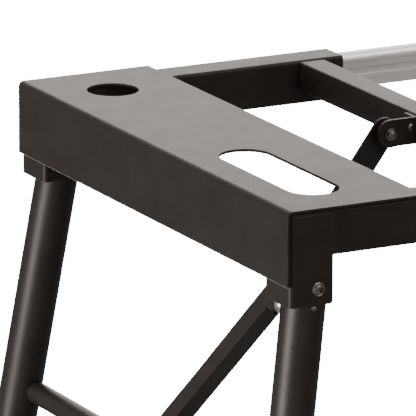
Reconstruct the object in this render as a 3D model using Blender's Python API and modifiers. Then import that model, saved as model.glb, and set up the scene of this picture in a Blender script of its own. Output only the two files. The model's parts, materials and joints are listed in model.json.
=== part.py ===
"""Folding table-style equipment stand: two folding leg frames under two sliding end frames.

World frame: +X along the rails, +Y across the stand, +Z up, the floor at Z = 0 and the
origin below the middle of the stand. Metres throughout.

Both end frames are the same design, turned half a turn from each other about Z. Inside an
end frame, X runs inward from the outer face of the hood, Y across and Z up from its top.
Inside a leg frame, the origin is on the folding axis, Z runs up along the leaning legs and
X points inward. Upright surfaces that face each other keep a working gap.
"""
import math

import bmesh
import bpy
from mathutils import Matrix, Vector

# ---- driving dimensions ------------------------------------------------------------------
GAP = 0.0003                  # between pieces that touch

STAND_HEIGHT = 0.720          # floor to the top of the hoods
STAND_LENGTH = 1.090          # outer face to outer face of the hoods

HOOD_LENGTH = 0.400           # across the stand
HOOD_WIDTH = 0.103
HOOD_DROP = 0.0517
HOOD_SHEET = 0.002
HOOD_BEND = 0.004             # outer radius of the bend
HOLE_PLACE = (0.0480, 0.1474)
HOLE_RADIUS = 0.0182
SLOT_PLACE = (0.0449, -0.1040)
SLOT_WIDTH = 0.0364
SLOT_LENGTH = 0.1300

RAIL_WIDTH = 0.027
RAIL_HEIGHT = 0.0317
RAIL_WALL = 0.0015
RAIL_CORNER = 0.0022
INNER_CORNER = 0.0008
RAIL_START = 0.0045
RAIL_END = 0.2452
RAIL_OUTER_FACE = 0.1976
BUSH_DEPTH = 0.012
BUSH_CORNER = 0.0006

BRACKET_WIDTH = 0.0356        # across the stand
BRACKET_DEPTH = 0.0322        # along the rails
BRACKET_SHEET = 0.0015
BRACKET_BEND = 0.0030
BRACKET_OUTER_FACE = 0.1995
BRACKET_BOTTOM = -0.0662
BRACKET_CORNER = 0.0022

CROSS_START = 0.2094
CROSS_WIDTH = 0.0206
CROSS_TOP = -0.0031
CROSS_HEIGHT = 0.0213
CROSS_CORNER = 0.0015

PIVOT_X = 0.0235
PIVOT_Z = -0.0550
LEG_LEAN = math.atan(0.1475)  # outward along the rails
LEG_SPLAY = math.atan(0.0772)  # outward across the stand
LEG_RADIUS = 0.0150
LEG_WALL = 0.0015
LEG_ABOVE_PIVOT = 0.0080
LEG_TUBE_END = 0.4600         # below the pivot, along the leg
EXTENSION_RADIUS = 0.0127
EXTENSION_WALL = 0.0015
EXTENSION_TOP = 0.2400
FOOT_RADIUS = 0.0175
FOOT_SHEATH = 0.0220          # how far the foot's sleeve reaches up the tube
FOOT_SOLE = 0.0060            # on the leg's axis, from the tube's end to the floor
FOOT_CHAMFER = (0.0015, 0.0030)

STAY_PIVOT = (0.1875, -0.0140)
STAY_ANGLE = math.radians(53.5)  # below level, towards the legs
STAY_WIDTH = 0.0194
STAY_THICKNESS = 0.0025
STAY_UPPER_LENGTH = 0.1150    # between the upper link's pivots
STAY_NEAR_FACE = 0.0057       # beyond the bracket's plate and a spacer
STAY_SPACER = 0.0055
STAY_PIN = 0.0030
STAY_EYE_WALL = 0.0022        # around the crossbar
STAY_PLATE = 0.0028
STAY_BASE = (0.0030, 0.0150)  # the bracket's foot: thickness and width
STAY_TOE = 0.0060             # the plate's lower edge starts this far behind the bolt
STAY_PLATE_TOP = 0.0010       # below the cross-member's top
STAY_PLATE_BOTTOM = 0.0012    # above the cross-member's bottom
STAY_WASHER = (0.0046, 0.0010)
STAY_NUT = ((0, 0.0042), (0.0016, 0.0042), (0.0026, 0.0032), (0.0031, 0.0028), (0.0031, 0.0010))
STAY_HEAD = (0.0052, 0.0044, 0.0030)  # wide radius, narrow radius and height
STAY_UPPER_RIVET = (0.0050, 0.0022)
STAY_LOWER_RIVET = (0.0045, 0.0018)

CROSSBAR_RADIUS = 0.0080
CROSSBAR_WALL = 0.0015
CROSSBAR_SHORT = 0.0040       # its ends stop this far before the leg axes
CROSSBAR_OFFSET = 0.0050      # inward from the plane of the leg axes
CROSSBAR_HEIGHT = -0.2240     # its axis, from the top of the stand

BRACE_WEB = 0.0227
BRACE_LIP = 0.0115            # out from the web's outer face
BRACE_SHEET = 0.0020
BRACE_PLANE = -0.0080         # the web's outer face, from the plane of the leg axes
BRACE_CORNER = (-0.1616, -0.0278)  # Y and Z of a point on the web's lower edge
BRACE_SLOPE = math.radians(45.3)
BRACE_WEB_SPAN = (-0.0160, 0.5190)  # along the brace, from that point
BRACE_LIP_SPAN = (0.0000, 0.5050)
BRACE_LIP_SLANT = 0.0080      # the lip's front edge reaches this much further up
BRACE_TOP = -0.0080           # the web's cut top, from the folding axis
BRACE_TOP_AT_BRACKET = -0.0152   # lower where it passes under the leg bracket
BRACE_STEP = BRACKET_WIDTH - BRACKET_OUTER_FACE + 0.0005  # Y where the top's height changes
BRACE_STEP_LAP = 0.0010
BRACE_SCREW = (-0.1656, -0.0191)
BRACE_SCREW_SHANK = 0.0020
BRACE_SCREW_HEAD = 0.0038
BRACE_SCREW_DOME = 0.0020
BRACE_SCREW_TIP = 0.0005      # beyond the lug
BRACE_NOSE = ((0.0030, 0), (0.0009, 0.0008), (0, 0.0030))  # the lip's rounded front corner
LUG_THICKNESS = 0.0020
LUG_HEIGHT = 0.0100
LUG_ROOT = 0.0030             # into the leg
LUG_REACH = 0.0060            # beyond the screw
LUG_DROP = 0.0012             # its middle, below the screw

PROFILE_LENGTH = 0.860
PROFILE_WIDTH = 0.0210
PROFILE_HEIGHT = 0.0221
PROFILE_BELOW_RAIL_TOP = 0.0034
PROFILE_EDGE = 0.0014         # radius of the upper edges
PROFILE_FOOT = 0.0006         # chamfer of the lower edges
PROFILE_CORE = (0.0110, 0.0150, 0.0020)     # the hollow's width, height and corner
PROFILE_GROOVE = (0.0008, 0.0004, 0.0009)   # on top: half widths at its mouth and floor, depth
# steps of each side, inward from the side and down from the top
PROFILE_SIDE = (
    (0, 0.0034), (0.0008, 0.0038), (0.0008, 0.0082),
    (0.0030, 0.0086), (0.0030, 0.0128), (0, 0.0132),
)

RAIL_KNOB_X = 0.2000
RAIL_KNOB_RADIUS = 0.0095
LEG_KNOB_PLACE = 0.4380       # below the pivot, along the leg

SCREW_SHANK = 0.0025
SCREW_PLAY = 0.0003
SCREW_HEAD = 0.0046
SCREW_HEAD_HEIGHT = 0.0026
RECESS_OUTER = 0.0026
RECESS_INNER = 0.0018
RECESS_DEPTH = 0.0021
RECESS_TURN = 0.1             # radians
PIVOT_NUT = (0.0046, 0.0040)  # radius and height
PIVOT_END = 0.0015            # of the screw, beyond its nut

KNOB_STUD = 0.0030
KNOB_GRIP = 0.0110            # thickness
KNOB_STAND_OFF = 0.0100       # from the clamped face to the grip
KNOB_WAIST = 0.82             # the grip's hollows, as a share of its radius
KNOB_NECK = (0.45, 0.60)      # narrow and wide radius, as shares of the grip's
KNOB_CAP = 0.0015             # above the grip
KNOB_SHOULDER = 0.0040        # the neck's widest place, beyond the grip's lower face
KNOB_LIFT = 0.0005            # of the neck from the clamped face
LEG_KNOB_RADIUS = 0.0175
LEG_BOSS = (0.0060, 0.0050)   # radius and height
THREAD_PLAY = 0.0004
SINK = 0.0001                 # how far joined shapes sink into each other
SHORT_TOOL = 0.010            # half the length of a cutter through a sheet
LONG_TOOL = 0.030             # half the length of a cutter through a tube
BLOCK = 0.100                 # side of a cutting block

DRAWING_SCALE = 1000          # outlines are filled in millimetres
LARGE = 40                    # sides of the hood's hole
ROUND = 24                    # sides of a tube
MEDIUM = 16                   # sides of a screw's head
FINE = 12                     # sides of a small one

# ---- places worked out from them ---------------------------------------------------------
RAIL_TOP = -(HOOD_SHEET + GAP)
RAIL_MIDDLE = RAIL_TOP - RAIL_HEIGHT / 2
RAIL_LINE = RAIL_OUTER_FACE - RAIL_WIDTH / 2
LEG_LINE = BRACKET_OUTER_FACE - BRACKET_WIDTH / 2
CROSS_MIDDLE = CROSS_TOP - CROSS_HEIGHT / 2
PROFILE_MIDDLE = RAIL_TOP - PROFILE_BELOW_RAIL_TOP - PROFILE_HEIGHT / 2


def leg_frame_point(x, z):
    """A point of the end frame's XZ plane, in the leg frame's own X and Z."""
    dx = x - PIVOT_X
    dz = z - PIVOT_Z
    along = dx * math.cos(LEG_LEAN) - dz * math.sin(LEG_LEAN)
    up = dx * math.sin(LEG_LEAN) + dz * math.cos(LEG_LEAN)
    return along, up


def crossbar_place():
    """The crossbar's axis in the end frame's XZ plane."""
    drop = PIVOT_Z - CROSSBAR_HEIGHT
    middle = PIVOT_X - drop * math.tan(LEG_LEAN)
    return middle + CROSSBAR_OFFSET / math.cos(LEG_LEAN), CROSSBAR_HEIGHT


CROSSBAR_PLACE = crossbar_place()
CROSSBAR_DROP = -leg_frame_point(*CROSSBAR_PLACE)[1]
STAY_JOINT = (
    STAY_PIVOT[0] - STAY_UPPER_LENGTH * math.cos(STAY_ANGLE),
    STAY_PIVOT[1] - STAY_UPPER_LENGTH * math.sin(STAY_ANGLE),
)
# from the folding axis to the floor, along the leg
LEG_REACH = (STAND_HEIGHT + PIVOT_Z) / (math.cos(LEG_LEAN) * math.cos(LEG_SPLAY))


# ---- scene set-up ------------------------------------------------------------------------
for leftover in list(bpy.data.objects):
    bpy.data.objects.remove(leftover, do_unlink=True)

PARTS = bpy.data.collections.new("folding_stand")
CUTTERS = bpy.data.collections.new("cutters")
bpy.context.scene.collection.children.link(PARTS)
bpy.context.scene.collection.children.link(CUTTERS)


# ---- modelling helpers -------------------------------------------------------------------
def plain_material(name, colour, roughness, metallic):
    """A Principled material of one colour."""
    made = bpy.data.materials.new(name)
    made.use_nodes = True
    shader = made.node_tree.nodes["Principled BSDF"]
    shader.inputs["Base Color"].default_value = (*colour, 1.0)
    shader.inputs["Roughness"].default_value = roughness
    shader.inputs["Metallic"].default_value = metallic
    return made


def powder_coat(name):
    return plain_material(name, (0.030, 0.027, 0.025), 0.55, 0.10)


def bare_aluminium(name):
    return plain_material(name, (0.62, 0.62, 0.62), 0.38, 1.0)


def bright_steel(name):
    return plain_material(name, (0.42, 0.41, 0.40), 0.32, 1.0)


def black_plastic(name):
    return plain_material(name, (0.022, 0.022, 0.023), 0.62, 0.0)


def black_rubber(name):
    return plain_material(name, (0.014, 0.014, 0.015), 0.85, 0.0)


def place(item, parent, where=(0, 0, 0), turn=(0, 0, 0)):
    """Set an object under its parent, in the parent's own axes."""
    item.parent = parent
    item.location = where
    item.rotation_euler = turn
    return item


def empty(name, parent=None, where=(0, 0, 0), turn=(0, 0, 0)):
    item = bpy.data.objects.new(name, None)
    PARTS.objects.link(item)
    return place(item, parent, where, turn)


def mesh_object(name, mesh, tool):
    """An object in the parts' collection, or a hidden tool in the cutters' one."""
    item = bpy.data.objects.new(name, mesh)
    if tool:
        CUTTERS.objects.link(item)
        item.hide_render = True
        item.display_type = "WIRE"
    else:
        PARTS.objects.link(item)
    return item


def finish(item, look, smooth_angle=40):
    """Give a piece its own material, and smooth shading on what is round."""
    item.data.materials.clear()
    item.data.materials.append(look(item.name))
    item.data.shade_smooth()
    item.data.set_sharp_from_angle(angle=math.radians(smooth_angle))
    return item


def extruded(name, outline, thickness, tool=False):
    """A flat outline in X and Y, thickened evenly about its plane; drawn large to fill well."""
    curve = bpy.data.curves.new(name, "CURVE")
    curve.dimensions = "2D"
    curve.fill_mode = "BOTH"
    curve.extrude = thickness / 2 * DRAWING_SCALE
    spline = curve.splines.new("POLY")
    spline.points.add(len(outline) - 1)
    for point, (x, y) in zip(spline.points, outline):
        point.co = (x * DRAWING_SCALE, y * DRAWING_SCALE, 0, 1)
    spline.use_cyclic_u = True
    drawn = bpy.data.objects.new(name + "_outline", curve)
    CUTTERS.objects.link(drawn)
    bpy.context.view_layer.update()
    evaluated = drawn.evaluated_get(bpy.context.evaluated_depsgraph_get())
    mesh = bpy.data.meshes.new_from_object(evaluated)
    mesh.name = name
    mesh.transform(Matrix.Scale(1 / DRAWING_SCALE, 4))
    bpy.data.objects.remove(drawn)
    bpy.data.curves.remove(curve)
    weld_and_face_out(mesh)
    return mesh_object(name, mesh, tool)


def weld_and_face_out(mesh):
    work = bmesh.new()
    work.from_mesh(mesh)
    bmesh.ops.remove_doubles(work, verts=work.verts, dist=0.00002)
    bmesh.ops.dissolve_limit(work, angle_limit=0.002, verts=work.verts, edges=work.edges)
    bmesh.ops.recalc_face_normals(work, faces=work.faces)
    work.to_mesh(mesh)
    work.free()


def cuboid(name, size, centre=(0, 0, 0), tool=False):
    work = bmesh.new()
    bmesh.ops.create_cube(work, size=1.0)
    bmesh.ops.scale(work, vec=size, verts=work.verts)
    bmesh.ops.translate(work, vec=centre, verts=work.verts)
    mesh = bpy.data.meshes.new(name)
    work.to_mesh(mesh)
    work.free()
    return mesh_object(name, mesh, tool)


def rod(name, radius, start, end, tool=False, sides=ROUND):
    """A cylinder along its own Z, from one height to another."""
    work = bmesh.new()
    bmesh.ops.create_cone(
        work, cap_ends=True, segments=sides, radius1=radius, radius2=radius, depth=end - start
    )
    bmesh.ops.translate(work, vec=(0, 0, (start + end) / 2), verts=work.verts)
    mesh = bpy.data.meshes.new(name)
    work.to_mesh(mesh)
    work.free()
    return mesh_object(name, mesh, tool)


def turned(name, profile, sides=ROUND, closed=False, tool=False):
    """A profile of (radius, height) points from top to bottom, turned about Z."""
    work = bmesh.new()
    corners = [work.verts.new((radius, 0, height)) for radius, height in profile]
    for first, second in zip(corners, corners[1:]):
        work.edges.new((first, second))
    if closed:
        work.edges.new((corners[-1], corners[0]))
    mesh = bpy.data.meshes.new(name)
    work.to_mesh(mesh)
    work.free()
    item = mesh_object(name, mesh, tool)
    screw = item.modifiers.new("turn", "SCREW")
    screw.axis = "Z"
    screw.steps = sides
    screw.render_steps = sides
    screw.use_merge_vertices = True
    screw.merge_threshold = 0.00001
    return item


def tube(name, radius, wall, top, bottom, tool=False, sides=ROUND):
    """An open tube along Z."""
    wall_section = [(radius, top), (radius, bottom), (radius - wall, bottom), (radius - wall, top)]
    return turned(name, wall_section, sides=sides, closed=True, tool=tool)


def combine(item, tool, operation):
    change = item.modifiers.new(operation.lower(), "BOOLEAN")
    change.operation = operation
    change.solver = "EXACT"
    change.object = tool
    return item


def cut(item, tool):
    return combine(item, tool, "DIFFERENCE")


def join(item, tool):
    return combine(item, tool, "UNION")


def arc(centre, radius, start, end, steps):
    """Points of an arc, angles in degrees."""
    points = []
    for step in range(steps + 1):
        angle = math.radians(start + (end - start) * step / steps)
        points.append((centre[0] + radius * math.cos(angle), centre[1] + radius * math.sin(angle)))
    return points


def rounded_rectangle(width, height, radius, steps=3, centre=(0, 0)):
    """Counter-clockwise, with an arc at each corner."""
    across = width / 2 - radius
    up = height / 2 - radius
    points = []
    for number, (sx, sy) in enumerate(((1, 1), (-1, 1), (-1, -1), (1, -1))):
        corner = (centre[0] + sx * across, centre[1] + sy * up)
        points += arc(corner, radius, 90 * number, 90 * number + 90, steps)
    return points


def obround(length, width, steps=10):
    """A slot's outline along Y."""
    straight = (length - width) / 2
    top = arc((0, straight), width / 2, 0, 180, steps)
    bottom = arc((0, -straight), width / 2, 180, 360, steps)
    return top + bottom


# turns that lay an outline's X and Y along two axes of the frame it is placed in
XZ_PLANE = (math.radians(90), 0, 0)
YZ_PLANE = (math.radians(90), 0, math.radians(90))
X_AXIS = (0, math.radians(90), 0)
Y_AXIS = {1: (math.radians(-90), 0, 0), -1: (math.radians(90), 0, 0)}  # Z turned to +Y or -Y


def side_name(end, side, piece):
    """Named for where the piece is in the world: near is -Y and far is +Y."""
    across = side if end == "left" else -side
    return f"{end}_{'far' if across > 0 else 'near'}_{piece}"


# ---- end frame ---------------------------------------------------------------------------
def hood(end, frame):
    """The sheet cover: a top and an outer flange, with a round hole and a hand slot."""
    bend_centre = (HOOD_BEND, -HOOD_BEND)
    outline = [(HOOD_WIDTH, 0)]
    outline += arc(bend_centre, HOOD_BEND, 90, 180, 7)
    outline += [(0, -HOOD_DROP), (HOOD_SHEET, -HOOD_DROP)]
    outline += arc(bend_centre, HOOD_BEND - HOOD_SHEET, 180, 90, 4)
    outline += [(HOOD_WIDTH, -HOOD_SHEET)]
    name = f"{end}_end_hood"
    item = place(extruded(name, outline, HOOD_LENGTH), frame, turn=XZ_PLANE)
    hole = rod(f"{name}_hole", HOLE_RADIUS, -SHORT_TOOL, SHORT_TOOL, tool=True, sides=LARGE)
    cut(item, place(hole, frame, (*HOLE_PLACE, 0)))
    slot = extruded(f"{name}_slot", obround(SLOT_LENGTH, SLOT_WIDTH), 2 * SHORT_TOOL,
                    tool=True)
    cut(item, place(slot, frame, (*SLOT_PLACE, 0)))
    return finish(item, powder_coat)


def rail(end, side, frame):
    """A square-shouldered tube under the hood's end, open at both ends."""
    name = side_name(end, side, "rail")
    length = RAIL_END - RAIL_START
    middle = ((RAIL_START + RAIL_END) / 2, side * RAIL_LINE, RAIL_MIDDLE)
    item = place(extruded(name, rounded_rectangle(RAIL_WIDTH, RAIL_HEIGHT, RAIL_CORNER), length),
                 frame, middle, YZ_PLANE)
    hollow = extruded(
        f"{name}_hollow",
        rounded_rectangle(RAIL_WIDTH - 2 * RAIL_WALL, RAIL_HEIGHT - 2 * RAIL_WALL, INNER_CORNER, 1),
        length + SHORT_TOOL, tool=True,
    )
    cut(item, place(hollow, frame, middle, YZ_PLANE))
    threaded = rod(f"{name}_knob_hole", KNOB_STUD + THREAD_PLAY, -RAIL_WALL * 2, SHORT_TOOL, tool=True,
                   sides=FINE)
    cut(item, place(threaded, frame, (RAIL_KNOB_X, side * RAIL_OUTER_FACE, RAIL_MIDDLE), Y_AXIS[side]))
    return finish(item, powder_coat)


def rail_bush(end, side, frame):
    """The plastic guide in the rail's mouth, around the sliding profile."""
    name = side_name(end, side, "rail_bush")
    middle = (RAIL_END - BUSH_DEPTH / 2, side * RAIL_LINE, RAIL_MIDDLE)
    outer = (RAIL_WIDTH - 2 * RAIL_WALL - 2 * GAP, RAIL_HEIGHT - 2 * RAIL_WALL - 2 * GAP)
    item = place(extruded(name, rounded_rectangle(*outer, BUSH_CORNER, 1), BUSH_DEPTH), frame, middle,
                 YZ_PLANE)
    inner = (PROFILE_WIDTH + 2 * GAP, PROFILE_HEIGHT + 2 * GAP)
    hollow = cuboid(f"{name}_hollow", (*inner, BUSH_DEPTH * 2), tool=True)
    where = (middle[0], middle[1], PROFILE_MIDDLE)
    cut(item, place(hollow, frame, where, YZ_PLANE))
    return finish(item, black_plastic)


def cross_member(end, frame):
    """The tube between the two rails."""
    name = f"{end}_cross_member"
    length = 2 * (RAIL_LINE - RAIL_WIDTH / 2 - GAP)
    middle = (CROSS_START + CROSS_WIDTH / 2, 0, CROSS_MIDDLE)
    item = place(extruded(name, rounded_rectangle(CROSS_WIDTH, CROSS_HEIGHT, CROSS_CORNER, 2), length),
                 frame, middle, XZ_PLANE)
    inside = (CROSS_WIDTH - 2 * RAIL_WALL, CROSS_HEIGHT - 2 * RAIL_WALL, length + SHORT_TOOL)
    cut(item, place(cuboid(f"{name}_hollow", inside, tool=True), frame, middle, XZ_PLANE))
    return finish(item, powder_coat)


def leg_bracket(end, side, frame):
    """A folded channel open inward; its web stands behind the hood's flange."""
    name = side_name(end, side, "leg_bracket")
    start = HOOD_SHEET + GAP
    top = -(HOOD_BEND + GAP)  # clear of the inside of the hood's bend
    height = top - BRACKET_BOTTOM
    half = BRACKET_WIDTH / 2
    sheet = BRACKET_SHEET
    bend = BRACKET_BEND
    outline = [(BRACKET_DEPTH, half)]
    outline += arc((bend, half - bend), bend, 90, 180, 4)
    outline += arc((bend, -half + bend), bend, 180, 270, 4)
    outline += [(BRACKET_DEPTH, -half), (BRACKET_DEPTH, -half + sheet)]
    outline += arc((bend, -half + bend), bend - sheet, 270, 180, 3)
    outline += arc((bend, half - bend), bend - sheet, 180, 90, 3)
    outline += [(BRACKET_DEPTH, half - sheet)]
    where = (start, side * LEG_LINE, (top + BRACKET_BOTTOM) / 2)
    item = place(extruded(name, outline, height), frame, where)
    beyond = BRACKET_DEPTH + SHORT_TOOL
    below = -height / 2 - SHORT_TOOL
    corner_centre = (BRACKET_DEPTH - BRACKET_CORNER, -height / 2 + BRACKET_CORNER)
    side_view = [(beyond, below), (beyond, corner_centre[1])]
    side_view += arc(corner_centre, BRACKET_CORNER, 0, -90, 5)
    side_view += [(corner_centre[0], below)]
    trim = extruded(f"{name}_corner", side_view, BRACKET_WIDTH + SHORT_TOOL, tool=True)
    cut(item, place(trim, frame, where, XZ_PLANE))
    hole = rod(f"{name}_hole", SCREW_SHANK + SCREW_PLAY, -LONG_TOOL, LONG_TOOL, tool=True, sides=FINE)
    cut(item, place(hole, frame, (PIVOT_X, side * LEG_LINE, PIVOT_Z), Y_AXIS[1]))
    return finish(item, powder_coat)


# ---- screws and knobs --------------------------------------------------------------------
def lobed_outline(outer, inner, lobes, steps):
    """A wavy round outline, for a screw's recess or a knob's grip."""
    middle = (outer + inner) / 2
    swing = (outer - inner) / 2
    points = []
    for step in range(lobes * steps):
        angle = 2 * math.pi * step / (lobes * steps)
        radius = middle + swing * math.cos(lobes * angle)
        points.append((radius * math.cos(angle), radius * math.sin(angle)))
    return points


def dome(radius, height, base, steps=4):
    """The profile of a domed head, from its top centre to its rim at the base."""
    sphere = (radius * radius + height * height) / (2 * height)
    points = [(0, base + height)]
    for step in range(1, steps):
        out = radius * step / steps
        points.append((out, base + height - sphere + math.sqrt(sphere * sphere - out * out)))
    points.append((radius, base))
    return points


def pivot_screw(end, side, frame):
    """A domed screw through the bracket and the leg, with its nut on the inner flange."""
    name = side_name(end, side, "pivot_screw")
    nut_radius, nut_height = PIVOT_NUT
    nut_face = BRACKET_OUTER_FACE - BRACKET_WIDTH - GAP
    head_face = BRACKET_OUTER_FACE + GAP
    shank_end = nut_face - nut_height - PIVOT_END - head_face
    profile = dome(SCREW_HEAD, SCREW_HEAD_HEIGHT, 0)
    profile += [(SCREW_SHANK, 0), (SCREW_SHANK, shank_end), (0, shank_end)]
    where = (PIVOT_X, side * head_face, PIVOT_Z)
    item = place(turned(name, profile, sides=MEDIUM), frame, where, Y_AXIS[side])
    recess = extruded(f"{name}_recess", lobed_outline(RECESS_OUTER, RECESS_INNER, 6, 4),
                      2 * RECESS_DEPTH, tool=True)
    cut(item, place(recess, item, (0, 0, SCREW_HEAD_HEIGHT), (0, 0, RECESS_TURN)))
    nut = rod(f"{name}_nut", nut_radius, nut_face - nut_height - head_face, nut_face - head_face,
              tool=True, sides=6)
    join(item, place(nut, item))
    return finish(item, bright_steel)


def clamp_knob(name, parent, where, turn, stud_length, radius):
    """A star knob on its stud; the stud points down the knob's own -Z."""
    grip = extruded(name, lobed_outline(radius, radius * KNOB_WAIST, 5, 4), KNOB_GRIP)
    place(grip, parent, where, turn)
    grip.data.transform(Matrix.Translation((0, 0, KNOB_STAND_OFF + KNOB_GRIP / 2)))
    cap = KNOB_STAND_OFF + KNOB_GRIP + KNOB_CAP
    narrow, wide = (radius * share for share in KNOB_NECK)
    neck_profile = [(0, cap), (narrow, cap), (wide, KNOB_STAND_OFF + KNOB_SHOULDER)]
    neck_profile += [(narrow, KNOB_LIFT), (KNOB_STUD, KNOB_LIFT)]
    neck_profile += [(KNOB_STUD, -stud_length), (0, -stud_length)]
    join(grip, place(turned(f"{name}_neck", neck_profile, sides=FINE, tool=True), grip))
    return finish(grip, black_plastic)


def rail_knob(end, side, frame):
    """Clamps the sliding profile; its stud stops short of the profile's side."""
    name = side_name(end, side, "rail_knob")
    profile_side = RAIL_LINE + PROFILE_WIDTH / 2
    stud = RAIL_OUTER_FACE - profile_side - GAP
    return clamp_knob(name, frame, (RAIL_KNOB_X, side * RAIL_OUTER_FACE, RAIL_MIDDLE),
                      Y_AXIS[side], stud, RAIL_KNOB_RADIUS)


# ---- leg frame ---------------------------------------------------------------------------
def leg_axes(end, side, legs):
    """An empty on the folding axis whose Z runs up along one splayed leg."""
    return empty(side_name(end, side, "leg_axis"), legs, (0, side * LEG_LINE, 0), (side * LEG_SPLAY, 0, 0))


def leg_tube(end, side, axes, legs):
    """The outer tube, with the boss for its knob and the lug for the brace."""
    name = side_name(end, side, "leg_tube")
    item = place(tube(name, LEG_RADIUS, LEG_WALL, LEG_ABOVE_PIVOT, -LEG_TUBE_END), axes)
    boss_radius, boss_height = LEG_BOSS
    boss = rod(f"{name}_boss", boss_radius, LEG_RADIUS - LEG_WALL * 2 / 3, LEG_RADIUS + boss_height,
               tool=True, sides=FINE)
    join(item, place(boss, axes, (0, 0, -LEG_KNOB_PLACE), Y_AXIS[side]))
    thread = rod(f"{name}_thread", KNOB_STUD + THREAD_PLAY, LEG_RADIUS - LEG_WALL * 2,
                 LEG_RADIUS + SHORT_TOOL, tool=True, sides=FINE)
    cut(item, place(thread, axes, (0, 0, -LEG_KNOB_PLACE), Y_AXIS[side]))
    if side < 0:
        lug = brace_lug(name)
        join(item, place(lug, legs))
        screw_hole = rod(f"{name}_lug_hole", BRACE_SCREW_SHANK + SCREW_PLAY, -2 * SHORT_TOOL,
                         2 * SHORT_TOOL, tool=True, sides=FINE)
        cut(item, place(screw_hole, legs, (BRACE_PLANE, *BRACE_SCREW), X_AXIS))
    hole = rod(f"{name}_hole", SCREW_SHANK + THREAD_PLAY, -LONG_TOOL, LONG_TOOL, tool=True, sides=FINE)
    cut(item, place(hole, legs, (0, side * LEG_LINE, 0), Y_AXIS[1]))
    return finish(item, powder_coat)


def brace_lug(name):
    """A small plate from the near leg, behind the brace's upper end."""
    inner_face = BRACE_PLANE + BRACE_SHEET + GAP
    leg_inner = -(LEG_LINE - LEG_RADIUS + LUG_ROOT)
    width = BRACE_SCREW[0] + LUG_REACH - leg_inner
    size = (LUG_THICKNESS, width, LUG_HEIGHT)
    centre = (inner_face + LUG_THICKNESS / 2, leg_inner + width / 2, BRACE_SCREW[1] - LUG_DROP)
    return cuboid(f"{name}_lug", size, centre, tool=True)


def leg_extension(end, side, axes):
    """The inner tube that slides in the leg."""
    name = side_name(end, side, "leg_extension")
    end_of_tube = LEG_REACH - FOOT_SOLE
    item = tube(name, EXTENSION_RADIUS, EXTENSION_WALL, -EXTENSION_TOP, -end_of_tube)
    return finish(place(item, axes), powder_coat)


def leg_foot(end, side, axes):
    """A rubber cap around the extension's end, cut level with the floor."""
    name = side_name(end, side, "leg_foot")
    bore = EXTENSION_RADIUS + GAP
    tip = LEG_REACH + FOOT_SOLE
    floor_of_bore = LEG_REACH - FOOT_SOLE + GAP
    top = floor_of_bore - FOOT_SHEATH
    inward, downward = FOOT_CHAMFER
    profile = [(bore, -top), (FOOT_RADIUS - inward, -top), (FOOT_RADIUS, -top - downward)]
    profile += [(FOOT_RADIUS, -tip), (0, -tip), (0, -floor_of_bore), (bore, -floor_of_bore)]
    item = place(turned(name, profile, closed=True), axes)
    below = cuboid(f"{name}_floor", (BLOCK, BLOCK, BLOCK), (0, 0, -BLOCK / 2), tool=True)
    level = axes.parent.parent
    foot_x = PIVOT_X - (STAND_HEIGHT + PIVOT_Z) * math.tan(LEG_LEAN)
    foot_y = LEG_LINE + LEG_REACH * math.sin(LEG_SPLAY)
    cut(item, place(below, level, (foot_x, side * foot_y, -STAND_HEIGHT)))
    return finish(item, black_rubber)


def leg_knob(end, side, axes):
    """Clamps the extension; its stud stops short of the inner tube."""
    name = side_name(end, side, "leg_knob")
    boss_face = LEG_RADIUS + LEG_BOSS[1]
    stud = boss_face - EXTENSION_RADIUS - GAP
    return clamp_knob(name, axes, (0, side * boss_face, -LEG_KNOB_PLACE), Y_AXIS[side], stud,
                      LEG_KNOB_RADIUS)


def fitted_to_legs(item, legs):
    """Cut a piece away where the two leg tubes pass."""
    for side in (-1, 1):
        shape = rod(f"{item.name}_leg{side}", LEG_RADIUS + GAP, -LEG_TUBE_END, LEG_ABOVE_PIVOT * 2,
                    tool=True)
        cut(item, place(shape, legs, (0, side * LEG_LINE, 0), (side * LEG_SPLAY, 0, 0)))
    return item


def crossbar(end, legs):
    """The tube between the legs that the stay is hinged to."""
    name = f"{end}_leg_crossbar"
    half = LEG_LINE + CROSSBAR_DROP * math.tan(LEG_SPLAY) - CROSSBAR_SHORT
    item = tube(name, CROSSBAR_RADIUS, CROSSBAR_WALL, half, -half, sides=MEDIUM)
    place(item, legs, (CROSSBAR_OFFSET, 0, -CROSSBAR_DROP), Y_AXIS[1])
    return finish(fitted_to_legs(item, legs), powder_coat)


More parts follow.
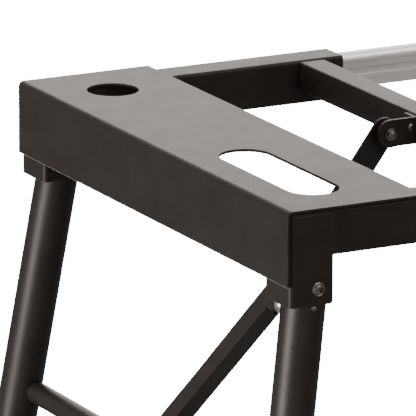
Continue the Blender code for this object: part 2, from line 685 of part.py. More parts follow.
def leg_brace(end, legs):
    """A folded angle from the near leg's top down to the far leg, its lip along the lower edge."""
    name = f"{end}_leg_brace"
    start, stop = BRACE_WEB_SPAN
    web = [(start, 0), (stop, 0), (stop, BRACE_WEB), (start, BRACE_WEB)]
    item = extruded(name, web, BRACE_SHEET)
    # along the brace, across it, and outward from the leg plane
    down = Vector((0, math.cos(BRACE_SLOPE), -math.sin(BRACE_SLOPE)))
    across = Vector((0, math.sin(BRACE_SLOPE), math.cos(BRACE_SLOPE)))
    outward = across.cross(down)
    turn = Matrix((down, across, down.cross(across))).transposed().to_euler()
    place(item, legs, (BRACE_PLANE + BRACE_SHEET / 2, *BRACE_CORNER), turn)
    lip_start, lip_stop = BRACE_LIP_SPAN
    depth = BRACE_LIP + BRACE_SHEET
    front = lip_start - BRACE_LIP_SLANT
    lip_outline = [(lip_start, 0), (lip_stop, 0), (lip_stop, depth)]
    lip_outline += [(front + back, depth - down_by) for back, down_by in BRACE_NOSE]
    lip = extruded(f"{name}_lip", lip_outline, BRACE_SHEET, tool=True)
    lip_turn = Matrix((down, outward, down.cross(outward))).transposed().to_euler()
    lip_corner = Vector((BRACE_PLANE + BRACE_SHEET, *BRACE_CORNER)) + across * (BRACE_SHEET / 2)
    join(item, place(lip, legs, lip_corner, lip_turn))
    # the top is level, and lower where it passes under the leg bracket
    for number, (top, middle) in enumerate(((BRACE_TOP_AT_BRACKET, -BLOCK / 2),
                                            (BRACE_TOP, BLOCK / 2 - BRACE_STEP_LAP))):
        above = cuboid(f"{name}_top{number}", (BLOCK, BLOCK, BLOCK),
                       (0, BRACE_STEP + middle, top + BLOCK / 2), tool=True)
        cut(item, place(above, legs))
    hole = rod(f"{name}_hole", BRACE_SCREW_SHANK + SCREW_PLAY, -SHORT_TOOL, SHORT_TOOL, tool=True,
               sides=FINE)
    cut(item, place(hole, legs, (BRACE_PLANE, *BRACE_SCREW), X_AXIS))
    return finish(fitted_to_legs(item, legs), powder_coat)


def brace_screw(end, legs):
    """Holds the brace's upper end to the near leg's lug."""
    name = f"{end}_brace_screw"
    tip = -(BRACE_SHEET + LUG_THICKNESS + 3 * GAP + BRACE_SCREW_TIP)
    profile = dome(BRACE_SCREW_HEAD, BRACE_SCREW_DOME, GAP, 3)
    profile += [(BRACE_SCREW_SHANK, GAP), (BRACE_SCREW_SHANK, tip), (0, tip)]
    item = turned(name, profile, sides=FINE)
    place(item, legs, (BRACE_PLANE, *BRACE_SCREW), (0, math.radians(-90), 0))
    return finish(item, bright_steel)


# ---- folding stay ------------------------------------------------------------------------
def stay_bracket(end, frame):
    """A foot on the cross-member and one upright plate with a round end, beside the stay."""
    name = f"{end}_stay_bracket"
    back = CROSS_START - GAP - STAY_PIVOT[0]
    high = CROSS_TOP - STAY_PLATE_TOP - STAY_PIVOT[1]
    low = CROSS_TOP - CROSS_HEIGHT + STAY_PLATE_BOTTOM - STAY_PIVOT[1]
    outline = [(back, high)]
    outline += arc((0, 0), high, 90, 270, 10)
    outline += [(STAY_TOE, low), (back, low)]
    where = (STAY_PIVOT[0], -STAY_PLATE / 2, STAY_PIVOT[1])
    item = place(extruded(name, outline, STAY_PLATE), frame, where, XZ_PLANE)
    thickness, width = STAY_BASE
    foot = cuboid(f"{name}_foot", (thickness, width, high - low),
                  (back - thickness / 2, width / 2 - STAY_PLATE, (high + low) / 2), tool=True)
    join(item, place(foot, frame, (STAY_PIVOT[0], 0, STAY_PIVOT[1])))
    hole = rod(f"{name}_hole", STAY_PIN + GAP, -SHORT_TOOL, SHORT_TOOL, tool=True, sides=FINE)
    cut(item, place(hole, frame, where, Y_AXIS[1]))
    return finish(item, powder_coat)


def stay_bolt(end, frame):
    """The stay's upper pivot: washer and domed nut, a spacer up to the link, and the bolt's head."""
    name = f"{end}_stay_bolt"
    near = -STAY_PLATE - GAP
    spacer = (near - GAP, near - STAY_NEAR_FACE + GAP)
    head = near - STAY_NEAR_FACE - STAY_THICKNESS - GAP
    washer, washer_height = STAY_WASHER
    wide, narrow, head_height = STAY_HEAD
    profile = [*STAY_NUT, (washer, washer_height), (washer, 0), (STAY_PIN, 0), (STAY_PIN, spacer[0])]
    profile += [(STAY_SPACER, spacer[0]), (STAY_SPACER, spacer[1]), (STAY_PIN, spacer[1])]
    profile += [(STAY_PIN, head), (wide, head), (narrow, head - head_height), (0, head - head_height)]
    item = turned(name, profile, sides=MEDIUM)
    place(item, frame, (STAY_PIVOT[0], near, STAY_PIVOT[1]), Y_AXIS[-1])
    return finish(item, bright_steel)


def link_outline(length):
    """A bar along X with a round end at the origin and another at its length."""
    half = STAY_WIDTH / 2
    return arc((0, 0), half, 90, 270, 10) + arc((length, 0), half, -90, 90, 10)


def eyed_link_outline(length, eye_radius):
    """The same bar, ending in a larger round eye."""
    half = STAY_WIDTH / 2
    spread = math.degrees(math.asin(half / eye_radius))
    return arc((0, 0), half, 90, 270, 10) + arc((length, 0), eye_radius, -180 + spread, 180 - spread, 20)


def link_turn(start, stop):
    """Turns a link's X from one point of the XZ plane towards another, and its Z to the near side."""
    along = Vector((stop[0] - start[0], 0, stop[1] - start[1])).normalized()
    near = Vector((0, -1, 0))
    return Matrix((along, near.cross(along), near)).transposed().to_euler()


def stay_upper(end, frame):
    """The link from the bracket's bolt to the middle pivot."""
    name = f"{end}_stay_upper"
    item = extruded(name, link_outline(STAY_UPPER_LENGTH), STAY_THICKNESS)
    middle = STAY_NEAR_FACE + STAY_THICKNESS / 2
    place(item, frame, (STAY_PIVOT[0], middle, STAY_PIVOT[1]), link_turn(STAY_PIVOT, STAY_JOINT))
    hole = rod(f"{name}_hole", STAY_PIN + GAP, -SHORT_TOOL, SHORT_TOOL, tool=True, sides=FINE)
    cut(item, place(hole, item))
    rivet = turned(f"{name}_rivet", dome(*STAY_UPPER_RIVET, 0, 3) + [(0, 0)], sides=FINE, tool=True)
    join(item, place(rivet, item, (STAY_UPPER_LENGTH, 0, STAY_THICKNESS / 2 - SINK)))
    return finish(item, powder_coat)


def stay_lower(end, frame):
    """The link from the middle pivot to its eye round the crossbar."""
    name = f"{end}_stay_lower"
    length = math.dist(STAY_JOINT, CROSSBAR_PLACE)
    item = extruded(name, eyed_link_outline(length, CROSSBAR_RADIUS + STAY_EYE_WALL), STAY_THICKNESS)
    middle = STAY_NEAR_FACE + STAY_THICKNESS * 3 / 2 + GAP
    place(item, frame, (STAY_JOINT[0], middle, STAY_JOINT[1]), link_turn(STAY_JOINT, CROSSBAR_PLACE))
    eye = rod(f"{name}_eye", CROSSBAR_RADIUS + GAP, -SHORT_TOOL, SHORT_TOOL, tool=True)
    cut(item, place(eye, item, (length, 0, 0)))
    rivet = turned(f"{name}_rivet", dome(*STAY_LOWER_RIVET, 0, 3) + [(0, 0)], sides=FINE, tool=True)
    join(item, place(rivet, item, (0, 0, -STAY_THICKNESS / 2 + SINK), (math.pi, 0, 0)))
    return finish(item, powder_coat)


# ---- sliding profiles --------------------------------------------------------------------
def profile_outline():
    """The extrusion's section: Y to the right, Z up, with grooves on top and on both sides."""
    half = PROFILE_WIDTH / 2
    high = PROFILE_HEIGHT / 2
    edge = PROFILE_EDGE
    right = arc((half - edge, high - edge), edge, 90, 0, 4)
    right += [(half - inward, high - down_by) for inward, down_by in PROFILE_SIDE]
    right += [(half, PROFILE_FOOT - high), (half - PROFILE_FOOT, -high)]
    groove = [(PROFILE_GROOVE[0], high), (PROFILE_GROOVE[1], high - PROFILE_GROOVE[2])]
    points = list(reversed(groove)) + right
    mirrored = [(-x, y) for x, y in reversed(points)]
    return points + mirrored


def slide_profile(side):
    """One long aluminium extrusion in both ends' rails."""
    name = f"{'far' if side > 0 else 'near'}_slide_profile"
    where = (0, side * RAIL_LINE, STAND_HEIGHT + PROFILE_MIDDLE)
    item = place(extruded(name, profile_outline(), PROFILE_LENGTH), None, where, YZ_PLANE)
    core = rounded_rectangle(*PROFILE_CORE, 2)
    hollow = extruded(f"{name}_core", core, PROFILE_LENGTH + SHORT_TOOL, tool=True)
    cut(item, place(hollow, None, where, YZ_PLANE))
    return finish(item, bare_aluminium)


# ---- assembly ----------------------------------------------------------------------------
def build_end(end, turn):
    """One end frame with its folding legs; its empty is turned about Z for the right end."""
    outward = -1 if end == "left" else 1
    frame = empty(f"{end}_end", None, (outward * STAND_LENGTH / 2, 0, STAND_HEIGHT), (0, 0, turn))
    legs = empty(f"{end}_legs", frame, (PIVOT_X, 0, PIVOT_Z), (0, LEG_LEAN, 0))
    hood(end, frame)
    cross_member(end, frame)
    stay_bracket(end, frame)
    stay_bolt(end, frame)
    stay_upper(end, frame)
    stay_lower(end, frame)
    crossbar(end, legs)
    leg_brace(end, legs)
    brace_screw(end, legs)
    for side in (-1, 1):
        rail(end, side, frame)
        rail_bush(end, side, frame)
        rail_knob(end, side, frame)
        leg_bracket(end, side, frame)
        pivot_screw(end, side, frame)
        axes = leg_axes(end, side, legs)
        leg_tube(end, side, axes, legs)
        leg_extension(end, side, axes)
        leg_foot(end, side, axes)
        leg_knob(end, side, axes)


build_end("left", 0)
build_end("right", math.pi)
slide_profile(-1)
slide_profile(1)
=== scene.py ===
"""Looks for the folding table-style stand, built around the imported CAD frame. Metres, +Z up."""
import json
import math

import bmesh
import bpy
from mathutils import Matrix, Vector


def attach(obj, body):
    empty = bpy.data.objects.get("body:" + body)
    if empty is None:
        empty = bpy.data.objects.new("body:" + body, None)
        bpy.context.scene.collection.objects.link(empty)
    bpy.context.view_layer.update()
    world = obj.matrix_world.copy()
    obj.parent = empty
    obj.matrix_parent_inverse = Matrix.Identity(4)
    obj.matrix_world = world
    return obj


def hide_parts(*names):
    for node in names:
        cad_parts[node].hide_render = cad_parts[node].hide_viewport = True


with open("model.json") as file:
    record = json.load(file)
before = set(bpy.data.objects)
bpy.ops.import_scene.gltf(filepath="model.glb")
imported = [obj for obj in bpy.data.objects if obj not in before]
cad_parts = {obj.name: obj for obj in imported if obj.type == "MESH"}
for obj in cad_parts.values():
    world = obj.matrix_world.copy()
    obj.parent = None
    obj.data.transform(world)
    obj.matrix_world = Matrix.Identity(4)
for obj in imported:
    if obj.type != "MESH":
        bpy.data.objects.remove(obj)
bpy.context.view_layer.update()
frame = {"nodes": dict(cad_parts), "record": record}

STAND_HEIGHT = 0.720
HALF_LENGTH = 0.545        # from the middle to the outer face of either end
ENDS = ("left", "right")


def in_world(end, point):
    """A point of an end frame (X inward from its outer face, Z up from its top) in the world."""
    x, y, z = point
    if end == "left":
        return Vector((x - HALF_LENGTH, y, z + STAND_HEIGHT))
    return Vector((HALF_LENGTH - x, -y, z + STAND_HEIGHT))


def direction(end, vector):
    """A direction of an end frame in the world."""
    x, y, z = vector
    return Vector((x, y, z)) if end == "left" else Vector((-x, -y, z))


def side_name(end, side):
    """Near is -Y and far is +Y, whichever end it is."""
    return "far" if (side > 0) == (end == "left") else "near"


# ---- camera ------------------------------------------------------------------------------
LOOK_AZIMUTH = math.radians(27.75)     # from +Y towards +X
LOOK_DOWN = math.radians(15.05)
CAMERA_ROLL = math.radians(0.22)
CAMERA_PLACE = Vector((-2.5727, -3.9419, 1.8673))
CAMERA_LENS = 583.3                    # mm
CAMERA_SENSOR = 36.0
CAMERA_REACH = (0.1, 400.0)            # nearest and farthest distance drawn


def make_camera():
    """The photo's view: a long lens from the near left, a little above the top."""
    camera = bpy.data.objects.new("camera", bpy.data.cameras.new("camera"))
    bpy.context.scene.collection.objects.link(camera)
    camera.data.sensor_width = CAMERA_SENSOR
    camera.data.lens = CAMERA_LENS
    camera.data.clip_start, camera.data.clip_end = CAMERA_REACH
    look = Vector((
        math.sin(LOOK_AZIMUTH) * math.cos(LOOK_DOWN),
        math.cos(LOOK_AZIMUTH) * math.cos(LOOK_DOWN),
        -math.sin(LOOK_DOWN),
    ))
    right = look.cross(Vector((0, 0, 1))).normalized()
    up = right.cross(look)
    right = math.cos(CAMERA_ROLL) * right + math.sin(CAMERA_ROLL) * up
    up = right.cross(look)
    turn = Matrix((right, up, -look)).transposed()
    camera.rotation_euler = turn.to_euler()
    camera.location = CAMERA_PLACE
    bpy.context.scene.camera = camera


# ---- light and floor ---------------------------------------------------------------------
WORLD_LOW = 0.36           # round the horizon
WORLD_HIGH = 0.27          # from WORLD_TOP up
WORLD_TOP = 0.6
WARM = (1.0, 0.935, 0.885)
FLOOR_SIZE = 300.0
FLOOR_PAPER = 0.75         # as the camera sees it
FLOOR_GLOW = 16.0
FLOOR_BOUNCE = 0.28        # as the stand is lit by it
MIDDLE = (0, 0, 0.6)       # of the stand, a little high
# name, place, target, size and power
LIGHTS = (
    ("behind", (2.2, 4.6, 1.9), MIDDLE, (5.0, 2.6), 140.0),
    ("left_strip", (-3.8, -0.25, 0.50), (-0.5, -0.1, 0.5), (1.5, 1.6), 155.0),
    ("front", (0.6, -4.0, 3.4), MIDDLE, (3.0, 2.0), 60.0),
    ("overhead", (0.0, 0.4, 3.6), MIDDLE, (2.4, 2.4), 30.0),
)


def make_world():
    """A plain soft studio, a little brighter round the horizon than overhead."""
    world = bpy.data.worlds.new("studio")
    bpy.context.scene.world = world
    world.use_nodes = True
    nodes = world.node_tree.nodes
    links = world.node_tree.links
    place = nodes.new("ShaderNodeTexCoord")
    split = nodes.new("ShaderNodeSeparateXYZ")
    ramp = nodes.new("ShaderNodeValToRGB")
    links.new(place.outputs["Generated"], split.inputs[0])
    links.new(split.outputs["Z"], ramp.inputs[0])
    links.new(ramp.outputs[0], nodes["Background"].inputs["Color"])
    ramp.color_ramp.elements[0].position = 0.0
    ramp.color_ramp.elements[0].color = (*(WORLD_LOW * part for part in WARM), 1)
    ramp.color_ramp.elements[1].position = WORLD_TOP
    ramp.color_ramp.elements[1].color = (*(WORLD_HIGH * part for part in WARM), 1)


def area_light(name, place, target, size, power):
    """A soft rectangular lamp that itself stays out of the picture."""
    data = bpy.data.lights.new(name, "AREA")
    data.shape = "RECTANGLE"
    data.size = size[0]
    data.size_y = size[1]
    data.energy = power
    data.color = WARM
    lamp = bpy.data.objects.new(name, data)
    bpy.context.scene.collection.objects.link(lamp)
    lamp.location = place
    lamp.rotation_euler = (Vector(target) - Vector(place)).to_track_quat("-Z", "Y").to_euler()
    lamp.visible_camera = False


def make_floor():
    """A pale floor that reads as white paper but throws little light back at the stand."""
    bpy.ops.mesh.primitive_plane_add(size=FLOOR_SIZE)
    floor = bpy.context.object
    floor.name = "floor"
    material = bpy.data.materials.new("floor")
    material.use_nodes = True
    nodes = material.node_tree.nodes
    links = material.node_tree.links
    nodes.remove(nodes["Principled BSDF"])
    paper = nodes.new("ShaderNodeBsdfDiffuse")
    paper.inputs["Color"].default_value = (FLOOR_PAPER, FLOOR_PAPER, FLOOR_PAPER, 1)
    glow = nodes.new("ShaderNodeEmission")
    glow.inputs["Color"].default_value = (1.0, 1.0, 1.0, 1)
    glow.inputs["Strength"].default_value = FLOOR_GLOW
    seen = nodes.new("ShaderNodeAddShader")
    links.new(paper.outputs[0], seen.inputs[0])
    links.new(glow.outputs[0], seen.inputs[1])
    bounce = nodes.new("ShaderNodeBsdfDiffuse")
    bounce.inputs["Color"].default_value = (FLOOR_BOUNCE, FLOOR_BOUNCE, FLOOR_BOUNCE, 1)
    path = nodes.new("ShaderNodeLightPath")
    mix = nodes.new("ShaderNodeMixShader")
    links.new(path.outputs["Is Camera Ray"], mix.inputs[0])
    links.new(bounce.outputs[0], mix.inputs[1])
    links.new(seen.outputs[0], mix.inputs[2])
    links.new(mix.outputs[0], nodes["Material Output"].inputs["Surface"])
    floor.data.materials.append(material)


# ---- materials ---------------------------------------------------------------------------
def node_setup(name):
    """A new material with its nodes and links."""
    material = bpy.data.materials.new(name)
    material.use_nodes = True
    return material, material.node_tree.nodes, material.node_tree.links


def noise(nodes, links, scale, detail=3.0, stretch=None):
    """A noise in the piece's own coordinates, optionally stretched."""
    place = nodes.new("ShaderNodeTexCoord")
    texture = nodes.new("ShaderNodeTexNoise")
    texture.inputs["Scale"].default_value = scale
    texture.inputs["Detail"].default_value = detail
    if stretch:
        mapping = nodes.new("ShaderNodeMapping")
        mapping.inputs["Scale"].default_value = stretch
        links.new(place.outputs["Object"], mapping.inputs["Vector"])
        links.new(mapping.outputs["Vector"], texture.inputs["Vector"])
    else:
        links.new(place.outputs["Object"], texture.inputs["Vector"])
    return texture


def ramp_between(nodes, links, source, low, high, start=0.3, stop=0.7):
    """A colour ramp from one grey or colour to another, driven by a noise."""
    ramp = nodes.new("ShaderNodeValToRGB")
    ramp.color_ramp.elements[0].position = start
    ramp.color_ramp.elements[1].position = stop
    ramp.color_ramp.elements[0].color = (*low, 1)
    ramp.color_ramp.elements[1].color = (*high, 1)
    links.new(source, ramp.inputs[0])
    return ramp.outputs[0]


def bump(nodes, links, source, shader, strength, distance):
    """Relief from a noise on a shader's normal."""
    relief = nodes.new("ShaderNodeBump")
    relief.inputs["Strength"].default_value = strength
    relief.inputs["Distance"].default_value = distance
    links.new(source, relief.inputs["Height"])
    links.new(relief.outputs["Normal"], shader.inputs["Normal"])


def grey(value):
    return (value, value, value)


COAT_DARK = (0.0190, 0.0162, 0.0145)
COAT_LIGHT = (0.0255, 0.0222, 0.0198)


def powder_coat(name, dark, light, smooth, rough):
    """Satin black coating with a fine grain."""
    material, nodes, links = node_setup(name)
    shader = nodes["Principled BSDF"]
    tone = noise(nodes, links, scale=35.0)
    links.new(ramp_between(nodes, links, tone.outputs["Fac"], dark, light),
              shader.inputs["Base Color"])
    grain = noise(nodes, links, scale=1400.0, detail=2.0)
    uneven = noise(nodes, links, scale=60.0)
    links.new(ramp_between(nodes, links, uneven.outputs["Fac"], grey(smooth), grey(rough)),
              shader.inputs["Roughness"])
    shader.inputs["Specular IOR Level"].default_value = 0.35
    bump(nodes, links, grain.outputs["Fac"], shader, strength=0.25, distance=0.0002)
    return material


def aluminium():
    """Extruded aluminium with faint drawing lines along X."""
    material, nodes, links = node_setup("aluminium")
    shader = nodes["Principled BSDF"]
    lines = noise(nodes, links, scale=1.0, detail=4.0, stretch=(6.0, 2600.0, 2600.0))
    tone = ramp_between(nodes, links, lines.outputs["Fac"], (0.80, 0.80, 0.80), (0.92, 0.92, 0.91))
    links.new(tone, shader.inputs["Base Color"])
    links.new(ramp_between(nodes, links, lines.outputs["Fac"], grey(0.30), grey(0.42)),
              shader.inputs["Roughness"])
    shader.inputs["Metallic"].default_value = 0.40
    bump(nodes, links, lines.outputs["Fac"], shader, strength=0.10, distance=0.0001)
    return material


def zinc_steel(name, dark, light, smooth, rough):
    """Plated steel with faint stains."""
    material, nodes, links = node_setup(name)
    shader = nodes["Principled BSDF"]
    stain = noise(nodes, links, scale=420.0, detail=4.0)
    links.new(ramp_between(nodes, links, stain.outputs["Fac"], dark, light), shader.inputs["Base Color"])
    links.new(ramp_between(nodes, links, stain.outputs["Fac"], grey(smooth), grey(rough)),
              shader.inputs["Roughness"])
    shader.inputs["Metallic"].default_value = 1.0
    bump(nodes, links, stain.outputs["Fac"], shader, strength=0.05, distance=0.0001)
    return material


def moulded_plastic():
    """Matt black plastic with a fine grain."""
    material, nodes, links = node_setup("black_plastic")
    shader = nodes["Principled BSDF"]
    grain = noise(nodes, links, scale=2200.0, detail=2.0)
    tone = noise(nodes, links, scale=90.0)
    links.new(ramp_between(nodes, links, tone.outputs["Fac"], grey(0.014), grey(0.022)),
              shader.inputs["Base Color"])
    links.new(ramp_between(nodes, links, tone.outputs["Fac"], grey(0.48), grey(0.58)),
              shader.inputs["Roughness"])
    bump(nodes, links, grain.outputs["Fac"], shader, strength=0.2, distance=0.0001)
    return material


def rubber():
    """Black rubber with a little dust."""
    material, nodes, links = node_setup("rubber")
    shader = nodes["Principled BSDF"]
    dust = noise(nodes, links, scale=140.0, detail=5.0)
    tone = ramp_between(nodes, links, dust.outputs["Fac"], grey(0.010), grey(0.030),
                        start=0.45, stop=0.8)
    links.new(tone, shader.inputs["Base Color"])
    links.new(ramp_between(nodes, links, dust.outputs["Fac"], grey(0.75), grey(0.9)),
              shader.inputs["Roughness"])
    bump(nodes, links, dust.outputs["Fac"], shader, strength=0.15, distance=0.0003)
    return material


# for coatings and steels: darkest and lightest colour, then lowest and highest roughness
MATERIALS = {
    "black_powder_coat": powder_coat("powder_coat", COAT_DARK, COAT_LIGHT, 0.42, 0.45),
    # painted highlight: a light grey coat on the hood's lower rounded edge, standing in for the light
    # that catches it
    "worn_edge": powder_coat("worn_edge", (0.36, 0.34, 0.32), (0.44, 0.42, 0.40), 0.30, 0.38),
    # painted highlight: a lighter coat on the leg brackets' rounded edges; the weld marks use the same
    # coat
    "edge_highlight_and_weld_coat": powder_coat("edge_highlight_and_weld_coat", (0.100, 0.092, 0.085), (0.140, 0.130, 0.120), 0.30, 0.38),
    "aluminium": aluminium(),
    "zinc_steel": zinc_steel("zinc_steel", (0.34, 0.33, 0.31), (0.46, 0.45, 0.43), 0.24, 0.34),
    "bright_zinc": zinc_steel("bright_zinc", (0.78, 0.78, 0.77), (0.90, 0.90, 0.89), 0.34, 0.46),
    "dark_zinc": zinc_steel("dark_zinc", (0.22, 0.21, 0.195), (0.32, 0.31, 0.29), 0.24, 0.36),
    "black_plastic": moulded_plastic(),
    "rubber": rubber(),
}


# ---- softened copies of the CAD nodes ----------------------------------------------------
LOOKS = {"pivot_screw": "dark_zinc", "stay_bolt": "dark_zinc", "brace_screw": "bright_zinc"}
# painted highlights along some rounded edges: which look, and how far up from the lowest point
HOOD_HIGHLIGHT_BAND = 0.0012
WHOLE = 0.1                # taller than any bracket
PAINTED_EDGE_HIGHLIGHTS = {
    "end_hood": ("worn_edge", HOOD_HIGHLIGHT_BAND),
    "near_leg_bracket": ("edge_highlight_and_weld_coat", WHOLE),
    "far_leg_bracket": ("edge_highlight_and_weld_coat", WHOLE),
}
SHARP = math.radians(32)
EDGE_ROUND = 0.0004
HOOD_EDGE_ROUND = 0.0009
BEVEL_STEPS = 2
MERGE = 0.000002           # corners closer than this become one
FLAT = 0.01                # radians, the most that faces joined into one may differ


def body_of():
    """Node name to body name."""
    bodies = frame["record"]["behaviour"]["bodies"]
    return {node: body for body, nodes in bodies.items() for node in nodes}


def slot_of():
    """Node name to material slot."""
    return {entry["node"]: entry["material_slot"] for entry in frame["record"]["subparts"]}


BODY_OF = body_of()
SLOT_OF = slot_of()


def smooth_round_parts(item):
    """Smooth shading with creases kept, weighted so that flat faces stay flat."""
    shape = bmesh.new()
    shape.from_mesh(item.data)
    for face in shape.faces:
        face.smooth = True
    for edge in shape.edges:
        edge.smooth = len(edge.link_faces) == 2 and edge.calc_face_angle(0) < SHARP
    shape.to_mesh(item.data)
    shape.free()
    weighted = item.modifiers.new("weighted_normals", "WEIGHTED_NORMAL")
    weighted.keep_sharp = True


def look_of(node):
    """The node's own look where it has one, otherwise the one of its slot."""
    for ending, look in LOOKS.items():
        if node.endswith(ending):
            return MATERIALS[look]
    return MATERIALS[SLOT_OF[node]]


def softened(node, width):
    """A copy of a CAD node whose hard edges are rounded over, standing in for the node."""
    mesh = frame["nodes"][node].data.copy()
    mesh.materials.clear()
    mesh.materials.append(look_of(node))
    highlight_look = PAINTED_EDGE_HIGHLIGHTS.get(node.split("_", 1)[1])
    if highlight_look:
        mesh.materials.append(MATERIALS[highlight_look[0]])
    shape = bmesh.new()
    shape.from_mesh(mesh)
    bmesh.ops.remove_doubles(shape, verts=shape.verts, dist=MERGE)
    bmesh.ops.dissolve_limit(shape, angle_limit=FLAT, verts=shape.verts, edges=shape.edges)
    hard = [edge for edge in shape.edges
            if len(edge.link_faces) == 2 and edge.calc_face_angle(0) > SHARP]
    rounded = bmesh.ops.bevel(shape, geom=hard, offset=width, offset_type="OFFSET", segments=BEVEL_STEPS,
                              profile=0.5, affect="EDGES", clamp_overlap=True)
    # painted highlight: the rounded faces low on the hood, and all of them on the leg brackets, take the
    # lighter coat
    if highlight_look:
        lowest = min(vertex.co.z for vertex in shape.verts)
        for face in rounded["faces"]:
            if face.calc_center_median().z < lowest + highlight_look[1]:
                face.material_index = 1
    shape.to_mesh(mesh)
    shape.free()
    item = bpy.data.objects.new(f"{node}_skin", mesh)
    bpy.context.scene.collection.objects.link(item)
    smooth_round_parts(item)
    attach(item, BODY_OF[node])
    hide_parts(node)


# ---- small turned details ----------------------------------------------------------------
ON_AXIS = 1e-7             # a smaller radius is a point
ROOT = 0.0002              # how far a dome reaches into what it sits on
ROOT_TAPER = 0.96
RING_SHOULDER = 0.6        # of a ring's height


def lathed(name, profile, place, axis, body, material, sides=48):
    """A body of revolution about an axis, from its profile of (radius, height) points."""
    shape = bmesh.new()
    rings = []
    for radius, height in profile:
        if radius < ON_AXIS:
            rings.append([shape.verts.new((0, 0, height))])
            continue
        rings.append([
            shape.verts.new((radius * math.cos(2 * math.pi * step / sides),
                             radius * math.sin(2 * math.pi * step / sides), height))
            for step in range(sides)
        ])
    for one, two in zip(rings, rings[1:]):
        for step in range(sides):
            following = (step + 1) % sides
            corners = [one[step % len(one)], two[step % len(two)]]
            if len(two) > 1:
                corners.append(two[following])
            if len(one) > 1:
                corners.append(one[following])
            shape.faces.new(corners)
    bmesh.ops.recalc_face_normals(shape, faces=shape.faces)
    turn = Vector(axis).to_track_quat("Z", "Y").to_matrix().to_4x4()
    shape.transform(Matrix.Translation(place) @ turn)
    mesh = bpy.data.meshes.new(name)
    shape.to_mesh(mesh)
    shape.free()
    mesh.materials.append(material)
    item = bpy.data.objects.new(name, mesh)
    bpy.context.scene.collection.objects.link(item)
    smooth_round_parts(item)
    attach(item, body)


def dome_profile(radius, height, steps=8):
    """A shallow dome from its centre out to its rim, closed below."""
    sphere = (radius * radius + height * height) / (2 * height)
    points = [(0, height)]
    for step in range(1, steps):
        out = radius * step / steps
        points.append((out, height - sphere + math.sqrt(sphere * sphere - out * out)))
    return points + [(radius, 0), (radius * ROOT_TAPER, -ROOT), (0, -ROOT)]


# in an end frame: X inward from the hood's outer face, Z up from its top
LEG_LEAN = math.atan(0.1475)
LEG_SPLAY = math.atan(0.0772)
LEG_RADIUS = 0.0150
LEG_LINE = 0.1817
PIVOT = (0.0235, -0.0550)
BRACKET_FACE = 0.1995      # outer side of the leg bracket
BRACE_FACE = -0.0080       # outer face of the brace, from the plane of the leg axes
BRACE_SCREW = (-0.1656, -0.0191)
CROSS_FACE = 0.2094        # outer face of the cross-member
RIVET_DROP = 0.0148        # below the pivot, along the leg
RIVET = (0.0021, 0.0010)   # radius and height
SINK = 0.0001              # of the rivet into the leg
RIM = (0.0040, 0.0047, 0.0006)         # inner and outer radius, and height
RIM_LIFT = 0.0003
WASHER = (0.0022, 0.0056, 0.0006)
WASHER_LIFT = 0.0002
WELD = (0.0014, 0.0005)    # radius and height
WELD_Y = (-0.0125, 0.0350)
WELD_Z = -0.0160
BOLT_PLACE = (0.2030, -0.0031, -0.0105)
BOLT = (
    (0, 0.0024), (0.0014, 0.0022), (0.0022, 0.0014), (0.0024, 0.0006),
    (0.0034, 0.0005), (0.0034, 0.0), (0, 0.0),
)


def leg_rivet(end, side):
    """A small domed rivet on the leg's outer side, just under its bracket."""
    down = Vector((-math.sin(LEG_LEAN) * math.cos(LEG_SPLAY), side * math.sin(LEG_SPLAY),
                   -math.cos(LEG_LEAN) * math.cos(LEG_SPLAY)))
    out = Vector((math.sin(LEG_LEAN) * math.sin(side * LEG_SPLAY), math.cos(LEG_SPLAY),
                  math.cos(LEG_LEAN) * math.sin(side * LEG_SPLAY))) * side
    middle = Vector((PIVOT[0], side * LEG_LINE, PIVOT[1])) + down * RIVET_DROP
    middle += out * (LEG_RADIUS - SINK)
    lathed(f"{end}_{side_name(end, side)}_leg_rivet", dome_profile(*RIVET), in_world(end, middle),
           direction(end, out), f"{end}_legs", MATERIALS["dark_zinc"])


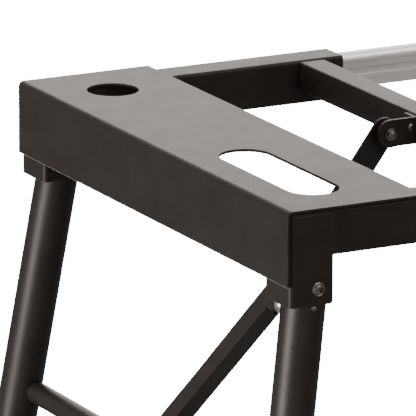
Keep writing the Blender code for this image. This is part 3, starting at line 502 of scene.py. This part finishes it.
def ring_profile(inner, outer, height):
    """A rounded flat ring: inner edge, crown, outer edge, closed below."""
    middle = (inner + outer) / 2
    shoulder = height * RING_SHOULDER
    return [(inner, 0), (inner, shoulder), (middle, height), (outer, shoulder), (outer, 0),
            (inner, 0)]


def screw_rim_highlight(end, side):
    """A raised ring of lighter zinc on the rim of the pivot screw's dark head; its lighter colour is a
    painted highlight.
    """
    place = in_world(end, (PIVOT[0], side * (BRACKET_FACE + RIM_LIFT), PIVOT[1]))
    lathed(f"{end}_{side_name(end, side)}_screw_rim_highlight", ring_profile(*RIM), place,
           direction(end, (0, side, 0)), f"{end}_end", MATERIALS["zinc_steel"])


def brace_screw_washer(end):
    """The bright washer under the brace's screw."""
    face = BRACE_FACE - WASHER_LIFT
    along = math.cos(LEG_LEAN) * face + math.sin(LEG_LEAN) * BRACE_SCREW[1]
    up = -math.sin(LEG_LEAN) * face + math.cos(LEG_LEAN) * BRACE_SCREW[1]
    place = in_world(end, (PIVOT[0] + along, BRACE_SCREW[0], PIVOT[1] + up))
    outward = direction(end, (-math.cos(LEG_LEAN), 0, math.sin(LEG_LEAN)))
    lathed(f"{end}_brace_washer", ring_profile(*WASHER), place, outward, f"{end}_legs",
           MATERIALS["bright_zinc"])


def weld_dots(end):
    """Two small weld marks on the cross-member's outer face."""
    for number, y in enumerate(WELD_Y):
        place = in_world(end, (CROSS_FACE, y, WELD_Z))
        lathed(f"{end}_weld_{number}", dome_profile(*WELD), place, direction(end, (-1, 0, 0)),
               f"{end}_end", MATERIALS["edge_highlight_and_weld_coat"])


def bracket_bolt(end):
    """The second bolt of the stay bracket, beside the pivot."""
    lathed(f"{end}_bracket_bolt", BOLT, in_world(end, BOLT_PLACE), direction(end, (0, -1, 0)),
           f"{end}_end", MATERIALS["dark_zinc"])


def dress():
    """Every node is replaced by its softened copy, and the small details are added."""
    for node in sorted(frame["nodes"]):
        softened(node, HOOD_EDGE_ROUND if node.endswith("hood") else EDGE_ROUND)
    for end in ENDS:
        bracket_bolt(end)
        brace_screw_washer(end)
        weld_dots(end)
        for side in (-1, 1):
            leg_rivet(end, side)
            screw_rim_highlight(end, side)


make_camera()
make_world()
make_floor()
for light in LIGHTS:
    area_light(*light)
dress()
